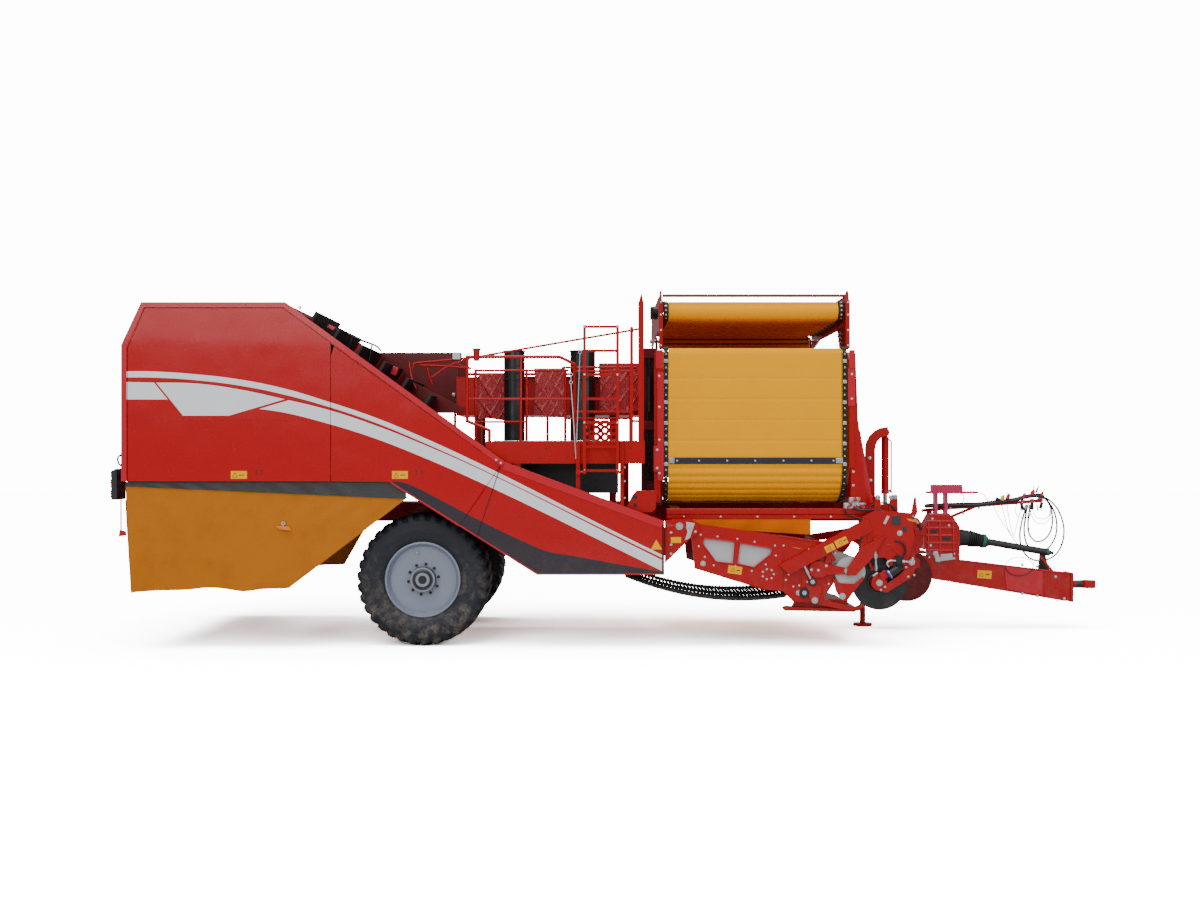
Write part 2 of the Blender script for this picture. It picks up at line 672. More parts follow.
def haulm_strippers():
    """Cross bars with rubber flaps above the web, carried by the inner wall."""
    wall = RAIL_Y[0] - RAIL_WIDTH / 2 - GAP - INNER_WALL
    slope = Vector((KNEE_X - HOOD_FRONT_X, KNEE_Z - HOOD_TOP_Z)).normalized()
    normal = Vector((-slope.y, slope.x))
    start = Vector((HOOD_FRONT_X, HOOD_TOP_Z)) + slope * 0.22 - normal * 0.13
    end = Vector((KNEE_X, KNEE_Z)) - slope * 0.95 - normal * 0.13
    shells = []
    for y in (CHANNEL_Y[0] + 0.10, CHANNEL_Y[1] - 0.10):
        shells.append(band((tuple(start), tuple(end)), 0.05, y - 0.02, y + 0.02))
    for step in range(6):
        spot = start + (end - start) * ((step + 0.3) / 5.7)
        near, far = CHANNEL_Y[0] + 0.02, wall - GAP
        shells.append(rod((spot.x, near, spot.y), (spot.x, far, spot.y), 0.022))
        tip = spot + normal * 0.24 - slope * 0.02
        shells.append(band((tuple(spot), tuple(tip)), 0.03, near + 0.03, far - 0.03))
    node("haulm_strippers", "black_rubber", shells)


def cross_belt():
    """Belt across the rear that feeds the picking table, on its legs."""
    shells = [box((-5.2, -3.9), (-1.45, 1.40), (1.76, 1.94))]
    for y in RAIL_Y:
        for x in (-4.75, -4.1):
            shells.append(box((x, x + 0.10), (y - 0.04, y + 0.04), (RAIL_TOP_Z + GAP, 1.78)))
    node("cross_belt", "black_rubber", shells)


def picking_table():
    """Trough of the picking table on legs."""
    floor = (2.55, 2.70)
    x, y = (-2.05, 0.20), (-0.20, 0.75)
    shells = [box(x, y, floor)]
    for side_y in (y[0], y[1] - 0.04):
        shells.append(box(x, (side_y, side_y + 0.04), (floor[0] + 0.01, 3.0)))
    for leg_x in (-1.85, -0.25):
        for rail_y in RAIL_Y:
            shells.append(box((leg_x, leg_x + 0.08), (rail_y - 0.04, rail_y + 0.04),
                (RAIL_TOP_Z + GAP, 2.56)))
    node("picking_table", "red_paint", shells)


def feed_ramp():
    """Ring elevator housing that lifts the crop from the cross belt to the table."""
    shells = [
        box((-3.35, -2.06), (-0.02, 1.30), (2.62, 2.74)),
        box((-3.35, -2.06), (-0.02, 0.03), (2.62, 3.30)),
        box((-3.35, -2.06), (1.25, 1.30), (2.62, 3.30)),
        box((-3.0, -2.92), (0.46, 0.54), (RAIL_TOP_Z + GAP, 2.63)),
        box((-3.0, -2.92), (-0.03, 0.05), (RAIL_TOP_Z + GAP, 2.63)),
    ]
    node("feed_trough", "dark_red", shells)


# ---------------------------------------------------------------- platforms

PLATFORM_Y = (-1.52, -0.75)
PLATFORM_X = (-1.60, 0.12)
PLATFORM_Z = 2.23


def platform_right():
    """Step-on platform beside the picking table, with the ladder's brackets."""
    x, y, z = PLATFORM_X, PLATFORM_Y, PLATFORM_Z
    shells = [
        box(x, y, (z - 0.04, z)),
        box(x, (y[0], y[0] + 0.03), (1.99, z - 0.01)),
        box(x, (y[1] - 0.03, y[1]), (2.10, z - 0.01)),
    ]
    ring_in = ring_span()[1] + GAP
    for stile in (-0.622, -0.150):
        shells.append(box((stile, stile + 0.043), (ring_in, ring_in + 0.045), (1.50, z - 0.01)))
        shells.append(box((stile, stile + 0.043), (LADDER_Y - 0.02, ring_in + 0.03),
            (LADDER_Z - 0.03, LADDER_Z + 0.03)))
    shells.append(box((-1.30, -1.22), (y[0] + 0.01, y[0] + 0.07), (1.90, z - 0.01)))
    for x0 in (-1.2, -0.1):
        shells.append(box((x0, x0 + 0.08), (y[1] - 0.04, RAIL_Y[0] + 0.04), (2.12, z - 0.01)))
        shells.append(box((x0, x0 + 0.08), (RAIL_Y[0] - 0.04, RAIL_Y[0] + 0.04),
            (RAIL_TOP_Z + GAP, z - 0.01)))
    cuts = [
        rod((-0.70, LADDER_Y, LADDER_Z), (0.0, LADDER_Y, LADDER_Z), 0.0135, 12),
    ]
    node("platform_right", "red_paint", shells, cuts=cuts)


def platform_left():
    """Platform on the left of the picking table, carried by outriggers."""
    x, y, z = (-2.30, 0.12), (0.85, SIDE_Y + 0.015), PLATFORM_Z
    shells = [
        box(x, y, (z - 0.04, z)),
        box(x, (y[0], y[0] + 0.03), (z - 0.14, z - 0.01)),
        box(x, (y[1] - 0.03, y[1]), (z - 0.14, z - 0.01)),
    ]
    for x0 in (-2.1, -0.6):
        shells.append(box((x0, x0 + 0.08), (RAIL_Y[1] - 0.04, y[0] + 0.02), (z - 0.12, z - 0.02)))
        shells.append(box((x0, x0 + 0.08), (RAIL_Y[1] - 0.04, RAIL_Y[1] + 0.04),
            (RAIL_TOP_Z + GAP, z - 0.02)))
    for x0 in (-2.26, -1.05, 0.05):
        post = (x0, y[1] - 0.025)
        shells.append(rod((*post, z - 0.03), (*post, 3.15), 0.018, 10))
    shells.append(rod((-2.28, y[1] - 0.025, 3.14), (0.07, y[1] - 0.025, 3.14), 0.018, 10))
    shells.append(rod((-2.28, y[1] - 0.025, 2.69), (0.07, y[1] - 0.025, 2.69), 0.016, 10))
    node("platform_left", "red_paint", shells)


def platform_rail():
    """Guard rail, tall ladder posts and the long stay."""
    y = PLATFORM_Y[0] + 0.03
    low = PLATFORM_Z + GAP
    top, middle = 3.145, 2.69
    shells = [
        pipe(((-1.80 + 0.24, y, low), (-1.80 + 0.24, y, 2.35), (-1.80, y, 2.45), (-1.80, y, top),
              (-0.80, y, top), (-0.64, y, top - 0.08), (-0.634, y, low)), 0.018),
        rod((-1.80, y + 0.002, middle), (-0.634, y + 0.002, middle), 0.013),
        rod((-1.22, y, low), (-1.22, y, top), 0.014),
        box((0.05, 0.11), (y - 0.03, y + 0.03), (low, 3.74)),
        prism(((0.053, 3.73), (0.107, 3.73), (0.09, 3.82), (0.075, 3.82)), "Y", y - 0.027, y + 0.027),
        box((-0.04, -0.005), (y - 0.02, y + 0.02), (low, 3.47)),
        rod((-0.03, y, 2.95), (0.08, y, 2.95), 0.013),
        rod((-0.03, y, 2.45), (0.08, y, 2.45), 0.013),
        rod((-1.72, y + 0.001, 3.14), (0.08, y + 0.001, 3.45), 0.012),
        rod((-0.636, y + 0.002, 2.99), (-0.02, y + 0.002, 2.99), 0.013),
        rod((-0.65, y + 0.001, 2.55), (-0.02, y + 0.001, 2.55), 0.013),
    ]
    node("platform_rail", "red_paint", shells)


def ladder():
    """Folding ladder, stood up against the platform."""
    y = LADDER_Y + 0.045
    top = 3.46
    stiles = ((-0.547, -0.514), (-0.192, -0.159))
    shells = []
    for x in stiles:
        shells.append(box(x, (y - 0.012, y + 0.012), (LADDER_Z - 0.01, top + 0.02)))
        shells.append(box(x, (LADDER_Y - 0.02, y + 0.005), (LADDER_Z - 0.02, LADDER_Z + 0.02)))
    for step in range(7):
        z = 1.915 + step * (top - 1.915) / 6
        shells.append(box((-0.54, -0.165), (y - 0.010, y + 0.010), (z - 0.014, z + 0.014)))
    pins = ((-0.60, -0.53), (-0.175, -0.14))
    for start, end in pins:
        shells.append(rod((start, LADDER_Y, LADDER_Z), (end, LADDER_Y, LADDER_Z), 0.013, 12))
    node("ladder", "red_paint", shells, body="ladder")


def table_curtain():
    """Guard sheets along the right side of the table, on its side wall."""
    y = -0.20 - GAP
    shells = [box((-1.78, 0.11), (y - 0.03, y), (2.80, 2.99))]
    for x0, x1 in ((-1.78, -1.46), (-1.12, -0.78), (-0.36, 0.11)):
        shells.append(box((x0, x1), (y - 0.025, y - 0.005), (2.49, 3.05)))
    node("table_curtain", "dark_red", shells)


def discard_chutes():
    """Two half-round chutes beside the table."""
    for name, (x0, x1) in (("rear", (-1.48, -1.24)), ("front", (-0.71, -0.42))):
        centre = (x0 + x1) / 2
        radius = (x1 - x0) / 2
        points = []
        for step in range(13):
            angle = math.pi * step / 12
            points.append((centre - radius * math.cos(angle), -0.38 - radius * 0.9 * math.sin(angle)))
        thick = 0.02
        inner = []
        for step in range(13):
            angle = math.pi * (12 - step) / 12
            inner.append((centre - (radius - thick) * math.cos(angle),
                          -0.38 - (radius - thick) * 0.9 * math.sin(angle)))
        shells = [prism(tuple(points + inner), "Z", 2.25, 3.29)]
        hook_y = (-0.395, -0.2303 - GAP)
        shells.append(box((x1 - 0.02, x1 - 0.002), hook_y, (2.60, 2.95)))
        node("discard_chute_" + name, "black_rubber", shells)


# ---------------------------------------------------------------- bunker

def bunker_walls():
    """Front and rear bunker walls with the elevator's bearings."""
    outline = (
        (BUNKER_OUT_Y - 0.03, 3.10), (BUNKER_OUT_Y - 0.03, 1.95), (-1.10, 1.60), (-0.9, RAIL_TOP_Z + GAP),
        (1.25, RAIL_TOP_Z + GAP), (1.50, 1.60), (1.50, 1.74), (1.02, 1.95), (1.0, BUNKER_TOP_Z),
        (BUNKER_OUT_Y + 0.10, BUNKER_TOP_Z),
    )
    for name, low, high in (
        ("rear", BUNKER_REAR_X, BUNKER_REAR_X + BUNKER_WALL),
        ("front", BUNKER_FRONT_X, BUNKER_FRONT_X + BUNKER_WALL),
    ):
        shells = [prism(outline, "X", low, high)]
        if name == "front":
            column = ((2.365 + 0.02, 1.5203), (2.60, 1.5203), (2.53, 1.80), (2.47, 2.40), (2.44, 3.2),
                (2.40, 3.2))
            shells.append(prism(column, "Y", -1.28, -1.20))
        else:
            shells.append(box((0.23, 0.30), (-1.28, -1.22), (1.56, 3.2)))
        pin = rod((low - 0.1, LOWER_PIVOT_Y, LOWER_PIVOT_Z), (high + 0.1, LOWER_PIVOT_Y, LOWER_PIVOT_Z),
                  ELEVATOR_PIN + PIN_CLEAR, 24)
        node("bunker_wall_" + name, "red_paint", shells, cuts=[pin])


def bunker_belt():
    """Moving floor of the bunker, which curls up to form its right wall."""
    path = [(BUNKER_OUT_Y + BELT_THICK / 2, BELT_TOP_Z)]
    radius = BELT_CURVE_Z - BELT_BOTTOM_Z - BELT_THICK / 2
    centre = (path[0][0] + radius, BELT_CURVE_Z)
    for step in range(9):
        angle = math.pi / 2 * step / 8
        path.append((centre[0] - radius * math.cos(angle), centre[1] - radius * math.sin(angle)))
    path.append((BELT_LEFT_Y, BELT_BOTTOM_Z + BELT_THICK / 2))
    shells = [band(path, BELT_THICK, BELT_REAR_X, BELT_FRONT_X, axis="X")]
    for x0 in (0.62, 2.0):
        shells.append(box((x0, x0 + 0.08), (-0.09, 0.55), (RAIL_TOP_Z + GAP, BELT_BOTTOM_Z + 0.02)))
    mid = BELT_REAR_X + 0.02
    for z in (1.99, 3.0):
        shells.append(rod((BUNKER_REAR_X + BUNKER_WALL + GAP, path[0][0], z), (mid, path[0][0], z), 0.03))
    node("bunker_belt", "yellow_belt", shells)


def bunker_sill():
    """Beam and cover strip under the right edge of the bunker."""
    y = (-1.40, -1.29 - GAP)
    shells = [
        box((0.36, 2.62), y, (1.40, 1.50)),
        box((0.72, 1.96), (y[0] + 0.01, y[0] + 0.04), (1.27, 1.43)),
    ]
    node("bunker_sill", "yellow_sheet", shells)


# ---------------------------------------------------------------- elevator

def elevator_lower():
    """Upright section of the unloading elevator."""
    far = LOWER_PLATE_X
    total = BELT_REAR_X + BELT_FRONT_X
    near = (total - far[1] - 0.001, total - far[0] - 0.001)
    plate = (
        (1.30, 1.60), (1.42, 1.60), (1.50, 1.72), (1.52, 3.40), (1.49, 3.60), (1.36, 3.60), (1.26, 3.45),
        (1.25, 1.80),
    )
    shells = [box((BELT_REAR_X, BELT_FRONT_X), (1.30, 1.46), (1.80, 3.42))]
    for low, high in (far, near):
        shells.append(prism(plate, "X", low, high))
    for z in (1.9, 2.6, 3.35):
        shells.append(rod((far[0] + 0.01, 1.38, z), (near[1] - 0.01, 1.38, z), 0.03))
    for start, end in ((BUNKER_REAR_X + 0.01, far[0] + 0.01), (near[1] - 0.01,
        BUNKER_FRONT_X + BUNKER_WALL - 0.01)):
        shells.append(rod((start, LOWER_PIVOT_Y, LOWER_PIVOT_Z), (end, LOWER_PIVOT_Y, LOWER_PIVOT_Z),
                          ELEVATOR_PIN, 24))
    for start, end in ((UPPER_PLATE_X[0] + 0.005, far[0] + 0.01),
        (near[1] - 0.01, total - UPPER_PLATE_X[0] - 0.006)):
        shells.append(rod((start, UPPER_PIVOT_Y, UPPER_PIVOT_Z), (end, UPPER_PIVOT_Y, UPPER_PIVOT_Z),
                          ELEVATOR_PIN, 24))
    node("elevator_lower", "yellow_belt", shells, body="elevator_lower")


def elevator_upper():
    """Outer section of the elevator, folded over the bunker."""
    total = BELT_REAR_X + BELT_FRONT_X
    far = UPPER_PLATE_X
    near = (total - far[1] - 0.001, total - far[0] - 0.001)
    plate = (
        (-1.06, 3.26), (-1.00, 3.26), (-0.96, 3.52), (0.9, 3.52), (1.30, 3.46), (1.48, 3.46), (1.50, 3.60),
        (1.36, 3.86), (-0.86, 3.86), (-1.04, 3.915), (-1.10, 3.80),
    )
    shells = [box((BELT_REAR_X, BELT_FRONT_X), (-1.0, 1.28), (3.60, 3.81))]
    for low, high in (far, near):
        shells.append(prism(plate, "X", low, high))
    for y in (-0.9, 0.1, 1.1):
        shells.append(rod((far[0] + 0.01, y, 3.70), (near[1] - 0.01, y, 3.70), 0.03))
    shells.append(rod((far[0] + 0.01, -0.98, 3.865), (near[1] - 0.01, -0.98, 3.865), 0.0175))
    pin = rod((0.1, UPPER_PIVOT_Y, UPPER_PIVOT_Z), (2.6, UPPER_PIVOT_Y, UPPER_PIVOT_Z),
              ELEVATOR_PIN + PIN_CLEAR, 24)
    node("elevator_upper", "yellow_belt", shells, cuts=[pin], body="elevator_upper")


# ---------------------------------------------------------------- front mast and lift

MAST_Y = (-0.95, -0.87)
LIFT_X, LIFT_Y = 2.86, -0.81
LIFT_TOP_Z, LIFT_LOW_Z = 2.34, 1.457


def lift_mast():
    """Bent post that carries the lift cylinder."""
    path = [(2.67, RAIL_TOP_Z - 0.02 + GAP), (2.67, 2.15)]
    for step in range(1, 6):
        angle = math.pi / 2 * step / 5
        path.append((2.87 - 0.20 * math.cos(angle), 2.15 + 0.20 * math.sin(angle)))
    shells = [band(tuple(path), 0.10, *MAST_Y)]
    shells.append(box((2.52, 2.72), MAST_Y, (RAIL_TOP_Z - 0.02 + GAP, 1.60)))
    shells.append(rod((LIFT_X, MAST_Y[1] - 0.02, LIFT_TOP_Z), (LIFT_X, LIFT_Y + 0.03, LIFT_TOP_Z),
        0.018, 16))
    node("lift_mast", "red_paint", shells)


def lift_cylinder():
    """Barrel and rod of the lift cylinder."""
    top = (LIFT_X, LIFT_Y)
    shells = [
        rod((*top, 1.66), (*top, LIFT_TOP_Z - 0.05), 0.042, 20),
        rod((LIFT_X, LIFT_Y - 0.028, LIFT_TOP_Z), (LIFT_X, LIFT_Y + 0.028, LIFT_TOP_Z), 0.045, 20),
        rod((*top, LIFT_TOP_Z - 0.07), (*top, LIFT_TOP_Z - 0.02), 0.03, 16),
    ]
    cuts = [
        rod((*top, 1.60), (*top, LIFT_TOP_Z - 0.09), 0.026, 20),
        rod((LIFT_X, LIFT_Y - 0.1, LIFT_TOP_Z), (LIFT_X, LIFT_Y + 0.1, LIFT_TOP_Z), 0.0188, 16),
    ]
    node("lift_barrel", "red_paint", shells, cuts=cuts, body="lift_barrel")
    rod_shells = [
        rod((*top, LIFT_LOW_Z + 0.03), (*top, 2.16), 0.0255, 20),
        rod((LIFT_X, LIFT_Y - 0.025, LIFT_LOW_Z), (LIFT_X, LIFT_Y + 0.025, LIFT_LOW_Z), 0.048, 20),
    ]
    eye = rod((LIFT_X, LIFT_Y - 0.1, LIFT_LOW_Z), (LIFT_X, LIFT_Y + 0.1, LIFT_LOW_Z), 0.032, 16)
    node("lift_rod", "steel", rod_shells, cuts=[eye], body="lift_rod")


# ---------------------------------------------------------------- digging unit

def pivot_carrier():
    """Pivot shaft of the digging unit and its carrier plates."""
    plate = (
        (NOSE_X + 0.012, 1.382), (0.60, 1.40), (0.70, 1.35), (0.70, 1.25), (0.60, 1.18),
        (NOSE_X + 0.012, 0.92),
    )
    right = (-SIDE_Y + 0.055, -SIDE_Y + 0.085)
    far = RAIL_Y[0] - RAIL_WIDTH / 2 - GAP
    ring_in = ring_span()[1] + GAP
    ear = ((0.52, 1.25), (0.70, 1.25), (0.66, RAIL_TOP_Z - 0.06), (0.54, RAIL_TOP_Z - 0.06))
    shells = [
        prism(plate, "Y", *right),
        box((NOSE_X - 0.06, 0.42), (ring_in, ring_in + 0.03), (1.0, 1.3)),
        box((NOSE_X + 0.014, 0.42), (right[0] + 0.01, ring_in + 0.03), (1.0, 1.3)),
        rod((INTAKE_X, right[0] + 0.01, INTAKE_Z), (INTAKE_X, far - 0.01, INTAKE_Z), PIVOT_RADIUS, 16),
        prism(ear, "Y", far - 0.03, far),
    ]
    node("pivot_carrier", "red_paint", shells)


SIDE_WALL = (
    (0.56, 1.26), (0.56, 1.36), (0.66, 1.365), (0.701, 1.339), (2.13, 1.141), (2.15, 0.70), (2.02, 0.50),
    (1.72, 0.50), (1.60, 0.62), (1.391, 0.633), (0.655, 0.86), (0.62, 1.22),
)
HEAD_Y = (-1.59, -1.555)
WINDOW_REAR = ((0.760, 1.190), (1.088, 1.150), (1.067, 0.914), (0.883, 0.935), (0.739, 1.129))
WINDOW_FRONT = ((1.143, 1.136), (1.487, 1.078), (1.477, 1.017), (1.293, 0.874), (1.113, 0.914))


def intake_walls():
    """Side walls, cross shafts and share of the digging unit."""
    out = (INTAKE_OUT_Y, INTAKE_OUT_Y + INTAKE_PLATE)
    inn = (INTAKE_IN_Y - INTAKE_PLATE, INTAKE_IN_Y)
    hole = rod((INTAKE_X, -1.7, INTAKE_Z), (INTAKE_X, 0.1, INTAKE_Z), PIVOT_RADIUS + PIN_CLEAR, 16)
    windows = [prism(WINDOW_REAR, "Y", -1.7, -1.4), prism(WINDOW_FRONT, "Y", -1.7, -1.4)]
    shells = [prism(SIDE_WALL, "Y", *out), prism(SIDE_WALL, "Y", *inn)]
    for x, z, radius in ((0.78, 0.90, 0.03), (2.05, 1.10, 0.04), (1.80, 0.60, 0.03)):
        shells.append(rod((x, out[0] + 0.01, z), (x, inn[1] - 0.01, z), radius, 12))
    share = ((1.95, 0.56), (2.42, 0.43), (2.45, 0.41), (2.30, 0.41), (1.85, 0.50))
    shells.append(prism(share, "Y", out[0] + 0.01, inn[1] - 0.01))
    node("intake_walls", "red_paint", shells, cuts=[hole] + windows, body="intake")


def intake_web():
    """Rod web of the digging unit."""
    out, inn = INTAKE_OUT_Y + INTAKE_PLATE, INTAKE_IN_Y - INTAKE_PLATE
    path = ((0.86, 1.06), (1.40, 0.90), (1.95, 0.68))
    shells = [band(path, 0.14, out + 0.04, inn - 0.04)]
    for x, z in ((1.00, 1.02), (1.70, 0.78)):
        shells.append(rod((x, out + GAP, z), (x, inn - GAP, z), 0.025))
    node("intake_web", "dark_steel", shells, body="intake")


def return_strand():
    """Slack lower strand of the web, hanging below the side walls."""
    low, high = CHANNEL_Y[0] + 0.03, CHANNEL_Y[1] - 0.03
    path = []
    for step in range(13):
        share = step / 12
        x = -0.12 + share * 1.80
        z = 0.80 + share * (0.575 - 0.80) - 0.53 * share * (1 - share)
        path.append((x, z))
    shells = [band(path, 0.035, low, high)]
    shells.append(prism(((1.60, 0.59), (1.72, 0.545), (1.76, 0.5205), (1.76, 0.60), (1.70, 0.64),
        (1.64, 0.625)), "Y",
                        low + 0.01, high - 0.01))
    walls = (INTAKE_OUT_Y + INTAKE_PLATE + GAP, INTAKE_IN_Y - INTAKE_PLATE - GAP)
    shells.append(rod((1.70, walls[0], 0.595), (1.70, walls[1], 0.595), 0.018))
    node("return_strand", "black_rubber", shells, body="intake")


def intake_arm():
    """Outer arm, head plate, cross beam and disc carriers."""
    y_out = (-1.63, INTAKE_OUT_Y - GAP)
    bar = ((1.56, 0.90), (1.66, 0.80), (2.56, 1.27), (2.50, 1.40))
    head = ((2.44, 0.98), (2.46, 1.42), (2.60, 1.49), (2.98, 1.46), (3.02, 1.20), (2.93, 0.90),
        (2.76, 0.89), (2.70, 0.98))
    shells = [
        prism(bar, "Y", *y_out),
        prism(head, "Y", *HEAD_Y),
        rod((2.62, y_out[0] + 0.02, 1.17), (2.62, 0.06, 1.17), 0.05, 16),
        prism(((2.60, 1.13), (2.90, 1.40), (2.90, 1.53), (2.82, 1.53), (2.55, 1.21)),
            "Y", LIFT_Y - 0.075, LIFT_Y - 0.045),
        rod((LIFT_X, LIFT_Y - 0.06, LIFT_LOW_Z), (LIFT_X, LIFT_Y + 0.02, LIFT_LOW_Z), 0.018, 16),
        prism(((2.60, 1.20), (3.10, 0.95), (3.10, 0.86), (3.02, 0.86), (2.56, 1.12)), "Y", -1.46, -1.43),
        prism(((3.09, 0.94), (3.09, 0.87), (2.66, 0.67), (2.62, 0.73)), "Y", -1.457, -1.433),
        rod((2.66, -1.50, 0.708), (2.66, -1.44, 0.708), AXLE_RADIUS, 16),
        prism(((2.56, 1.12), (2.62, 1.22), (3.32, 0.72), (3.30, 0.61), (3.24, 0.61)), "Y", 0.0, 0.03),
        rod((3.27, 0.02, 0.65), (3.27, -0.09, 0.65), AXLE_RADIUS, 16),
    ]
    for y in (-1.60, -0.13):
        near = (y, y + 0.03)
        if y < -1:
            near = (y_out[0] + 0.01, y_out[0] + 0.04)
        hanger = ((2.44, 1.10), (2.70, 1.22), (2.56, 0.98), (2.38, 0.79), (2.28, 0.79), (2.29, 0.87))
        shells.append(prism(hanger, "Y", *near))
    shells.append(rod((2.33, y_out[0] + 0.02, 0.826), (2.33, -0.115, 0.826), AXLE_RADIUS, 24))
    inner_bar = ((1.95, 1.04), (1.97, 1.12), (2.60, 1.22), (2.66, 1.13))
    shells.append(prism(inner_bar, "Y", INTAKE_IN_Y + GAP, INTAKE_IN_Y + 0.05))
    node("intake_arm", "red_paint", shells, body="intake")


def disc_motor():
    """Hydraulic motor above the right disc."""
    shells = [
        rod((2.84, HEAD_Y[0] - GAP, 0.95), (2.84, HEAD_Y[0] - 0.04, 0.95), 0.055, 20),
        rod((2.84, HEAD_Y[0] - 0.03, 0.95), (2.84, -SIDE_Y, 0.95), 0.035, 16),
    ]
    node("disc_motor", "black_rubber", shells, body="intake")


def ground_tools():
    """Two coulter discs and two ridge rollers, free on their shafts."""
    centre = (2.66, -1.48, 0.708)
    bore = rod((2.66, -1.8, 0.708), (2.66, -1.2, 0.708), AXLE_RADIUS + PIN_CLEAR, 16)
    node("disc_right", "black_rubber", [wheel_disc(centre, "Y", 0.30, -1.492, -1.475, 48)], cuts=[bore],
         body="disc_right")
    centre = (3.27, -0.06, 0.65)
    bore = rod((3.27, -0.3, 0.65), (3.27, 0.2, 0.65), AXLE_RADIUS + PIN_CLEAR, 16)
    node("disc_left", "dark_red", [wheel_disc(centre, "Y", 0.30, -0.07, -0.05, 48)], cuts=[bore],
         body="disc_left")
    bore = AXLE_RADIUS + PIN_CLEAR
    for name, y0, y1 in (("right", -1.42, -0.92), ("left", -0.78, -0.17)):
        middle = (y0 + y1) / 2
        half = (y1 - y0) / 2
        profile = [
            (bore, -half), (0.165, -half), (0.165, -half + 0.03), (0.09, -0.02), (0.09, 0.02),
            (0.165, half - 0.03), (0.165, half), (bore, half),
        ]
        if name == "right":
            profile[:2] = [(bore, -half - 0.14), (0.165, -half - 0.14), (0.165, -half - 0.12),
                           (0.038, -half - 0.12), (0.038, -half), (0.165, -half)]
        node("ridge_roller_" + name, "grey_paint", [turned(profile, (2.33, middle, 0.826), "Y", 24)],
             body="roller_" + name, smooth=True)


# ---------------------------------------------------------------- drawbar

def drawbar():
    """Drawbar beam, its eye and the swing bearing."""
    y = (DRAWBAR_Y - DRAWBAR_HALF, DRAWBAR_Y + DRAWBAR_HALF)
    side = ((3.50, 0.88), (3.62, 0.86), (5.30, 0.66), (5.30, 0.331), (5.20, 0.331), (3.62, 0.60),
        (3.50, 0.60))
    shells = [
        prism(side, "Y", *y),
        rod((SWING_X, DRAWBAR_Y, 0.60), (SWING_X, DRAWBAR_Y, 0.89), 0.07, 20),
        rod((5.28, DRAWBAR_Y, EYE_Z), (5.46, DRAWBAR_Y, EYE_Z), 0.045, 16),
        wheel_disc((5.53, DRAWBAR_Y, 0), "Z", (EYE_X - 5.53) / math.cos(math.pi / 24), EYE_Z - 0.045,
                   EYE_Z + 0.045, 24),
        box((5.28, 5.31), (y[0] - 0.02, y[1] + 0.02), (0.32, 0.67)),
    ]
    cuts = [
        rod((SWING_X, DRAWBAR_Y, 0.5), (SWING_X, DRAWBAR_Y, 1.0), PIVOT_RADIUS + 0.001, 16),
        rod((5.53, DRAWBAR_Y, 0.4), (5.53, DRAWBAR_Y, 0.7), 0.04, 24),
    ]
    node("drawbar", "red_paint", shells, cuts=cuts, body="drawbar")


def drawbar_top(x):
    """Height of the drawbar's upper face."""
    return 0.86 + (x - 3.62) * (0.66 - 0.86) / (5.30 - 3.62)


def gearbox():
    """Input gearbox on the drawbar's rear end."""
    y = (DRAWBAR_Y - 0.13, DRAWBAR_Y + 0.13)
    side = ((3.60, drawbar_top(3.60) + 0.001), (3.95, drawbar_top(3.95) + 0.001), (3.95, 1.22),
        (3.86, 1.36),
            (3.60, 1.36), (3.52, 1.20), (3.52, 0.95), (3.60, 0.95))
    node("gearbox", "red_paint", [prism(side, "Y", *y)], body="drawbar")


def pto_shaft():
    """Guarded input shaft with its bellows and rest."""
    y = DRAWBAR_Y
    start, end = Vector((3.95 + GAP, y, 1.09)), Vector((5.064, y, 0.893))
    run = (end - start).normalized()
    shells = [
        rod((3.95 + GAP, y, 1.08), (4.16, y, 1.08), 0.105, 20, end_radius=0.075),
        rod((4.14, y, 1.067), tuple(start + run * 0.36), 0.07, 16),
        rod(tuple(start + run * 0.33), tuple(end), 0.0315, 16),
        rod(tuple(start + run * 0.355), tuple(start + run * 0.385), 0.05, 16),
    ]
    foot = drawbar_top(4.98) + 0.001
    shells.append(prism(((4.93, foot + 0.01), (5.06, foot - 0.005), (5.01, 0.90), (4.95, 0.91)),
        "Y", y - 0.012, y + 0.012))
    node("pto_shaft", "black_rubber", shells, body="drawbar")


def hose_carrier():
    """Rail that carries the hoses forward to the tractor."""
    y = CARRIER_Y
    seat = DRAWBAR_Y + 0.13 + GAP
    shells = [
        rod((3.56, y, 1.405), (5.02, y, 1.527), 0.02),
        rod((3.80, y, 1.28), (4.22, y, 1.455), 0.018),
        box((3.62, 3.68), (seat, y + 0.01), (1.30, 1.42)),
        box((3.78, 3.84), (seat, y + 0.01), (1.22, 1.32)),
        box((4.98, 5.02), (y - 0.04, y + 0.04), (1.505, BLOCK_TOP_Z)),
    ]
    node("hose_carrier", "red_paint", shells, body="drawbar")


def hose_box():
    """Control box and bracket on top of the gearbox."""
    y = (DRAWBAR_Y - 0.10, DRAWBAR_Y + 0.04)
    low = 1.36 + GAP
    shells = [
        box((3.62, 3.84), y, (low, low + 0.02)),
        box((3.66, 3.70), (y[0] + 0.02, y[1] - 0.02), (low, 1.65)),
        box((3.78, 3.82), (y[0] + 0.02, y[1] - 0.02), (low, 1.65)),
        box((3.575, 4.18), y, (1.62, 1.645)),
        box((3.635, 3.992), y, (1.64, 1.725)),
    ]
    node("control_box", "red_paint", shells, body="drawbar")


# ---------------------------------------------------------------- hoses

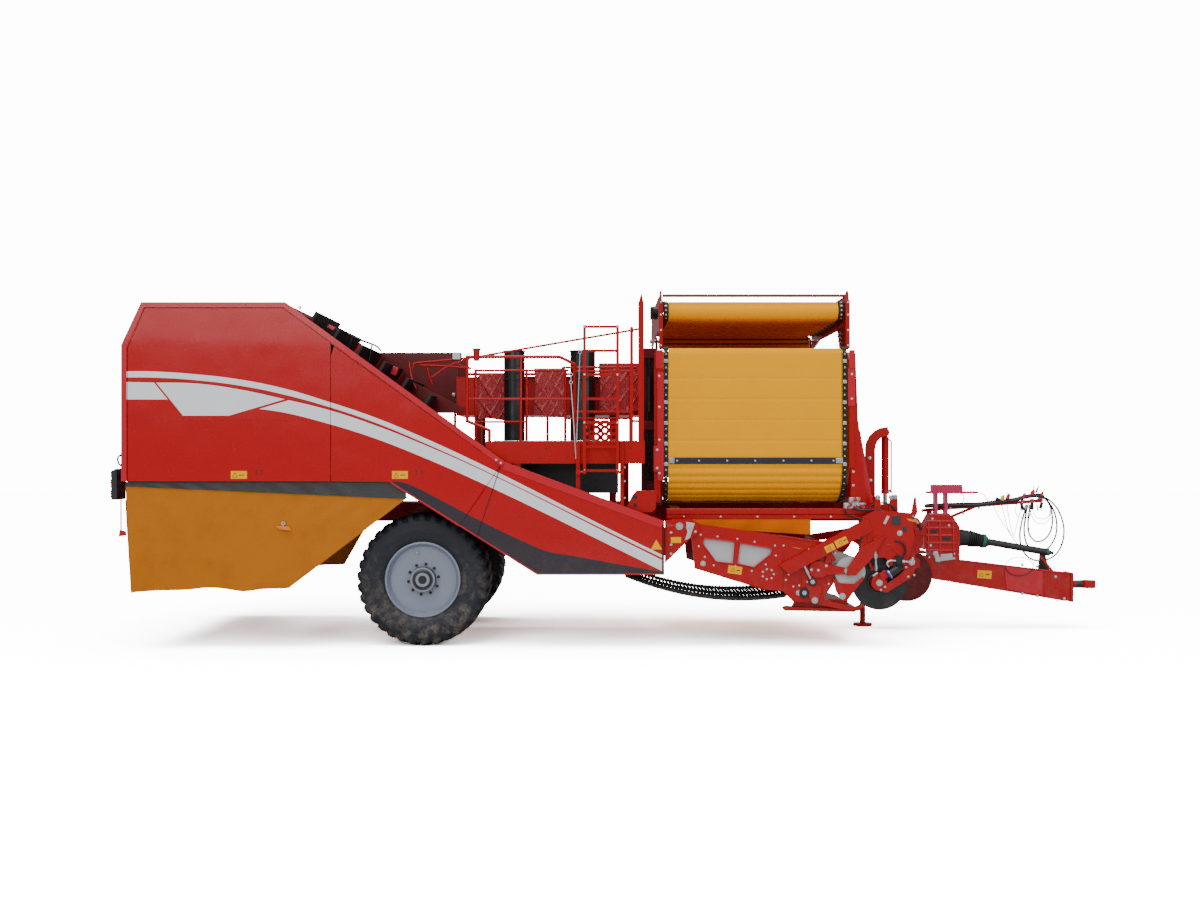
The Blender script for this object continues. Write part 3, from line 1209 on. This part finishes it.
CARRIER_Y = DRAWBAR_Y + 0.17
BLOCK_TOP_Z = 1.55
HOSE_RADIUS = 0.011
HOSES = {
    "hose_outer": (-0.025, (
        (4.99, 0.0), (5.07, -0.004), (5.16, -0.07), (5.24, -0.19), (5.289, -0.37), (5.27, -0.55),
        (5.19, -0.69),
        (5.06, -0.76), (4.93, -0.76), (4.83, -0.70), (4.77, -0.59), (4.752, -0.45), (4.775, -0.30),
        (4.81, -0.17),
        (4.83, -0.085),
    )),
    "hose_middle": (0.025, (
        (4.99, 0.0), (5.06, -0.004), (5.13, -0.07), (5.19, -0.18), (5.22, -0.33), (5.20, -0.48),
        (5.12, -0.61),
        (5.00, -0.67), (4.90, -0.63), (4.84, -0.53), (4.82, -0.38), (4.84, -0.22), (4.86, -0.082),
    )),
    "hose_inner": (0.0, (
        (4.99, 0.0), (5.05, -0.004), (5.11, -0.06), (5.15, -0.18), (5.155, -0.32), (5.12, -0.44),
        (5.04, -0.52),
        (4.95, -0.53), (4.88, -0.45), (4.86, -0.33), (4.87, -0.20), (4.89, -0.081),
    )),
}
HOSE_STEPS = 3


def smooth_route(spots, steps):
    """Points on a smooth curve through the route, the ends included."""
    route = [spots[0] * 2 - spots[1]] + spots + [spots[-1] * 2 - spots[-2]]
    points = []
    for a, b, c, d in zip(route, route[1:], route[2:], route[3:]):
        for step in range(steps):
            t = step / steps
            points.append((b * 2 + (c - a) * t + (a * 2 - b * 5 + c * 4 - d) * t * t
                           + (b * 3 - a - c * 3 + d) * t ** 3) / 2)
    return points + [spots[-1]]


def hoses():
    """Hydraulic hoses that hang from the carrier's front end."""
    for name, (aside, route) in HOSES.items():
        top = BLOCK_TOP_Z + HOSE_RADIUS + GAP
        spots = [Vector((x, CARRIER_Y + aside, top + z)) for x, z in route]
        points = smooth_route(spots, HOSE_STEPS)
        curve = bpy.data.curves.new(name, "CURVE")
        curve.dimensions = "3D"
        spline = curve.splines.new("POLY")
        spline.points.add(len(points) - 1)
        for target, point in zip(spline.points, points):
            target.co = (*point, 1.0)
        curve.bevel_depth = HOSE_RADIUS
        curve.bevel_resolution = 2
        curve.use_fill_caps = True
        curve.materials.append(MATERIALS["black_rubber"])
        obj = bpy.data.objects.new(name, curve)
        bpy.context.scene.collection.objects.link(obj)
        obj.parent = EMPTIES["drawbar"]
        obj.matrix_parent_inverse = Matrix.Translation(-JOINTS["drawbar"][0])


def build_model():
    """Every node in order."""
    clear_scene()
    make_materials()
    make_empties()
    frame_rails()
    axle_beam()
    jack_leg()
    for side, name in ((-1, "right"), (1, "left")):
        knuckle(side, name)
        tyre(side, name)
        rim(side, name)
    tie_rod()
    side_frame()
    doors()
    housing_frame()
    skirt_rail()
    left_side_panel()
    rear_wall()
    tail_lights()
    tarp_skirt()
    inner_wall()
    main_web()
    haulm_strippers()
    cross_belt()
    picking_table()
    feed_ramp()
    platform_right()
    platform_left()
    platform_rail()
    ladder()
    table_curtain()
    discard_chutes()
    bunker_walls()
    bunker_belt()
    bunker_sill()
    elevator_lower()
    elevator_upper()
    lift_mast()
    lift_cylinder()
    pivot_carrier()
    intake_walls()
    intake_web()
    return_strand()
    intake_arm()
    disc_motor()
    ground_tools()
    drawbar()
    gearbox()
    pto_shaft()
    hose_carrier()
    hose_box()
    hoses()
    bpy.context.view_layer.update()


build_model()
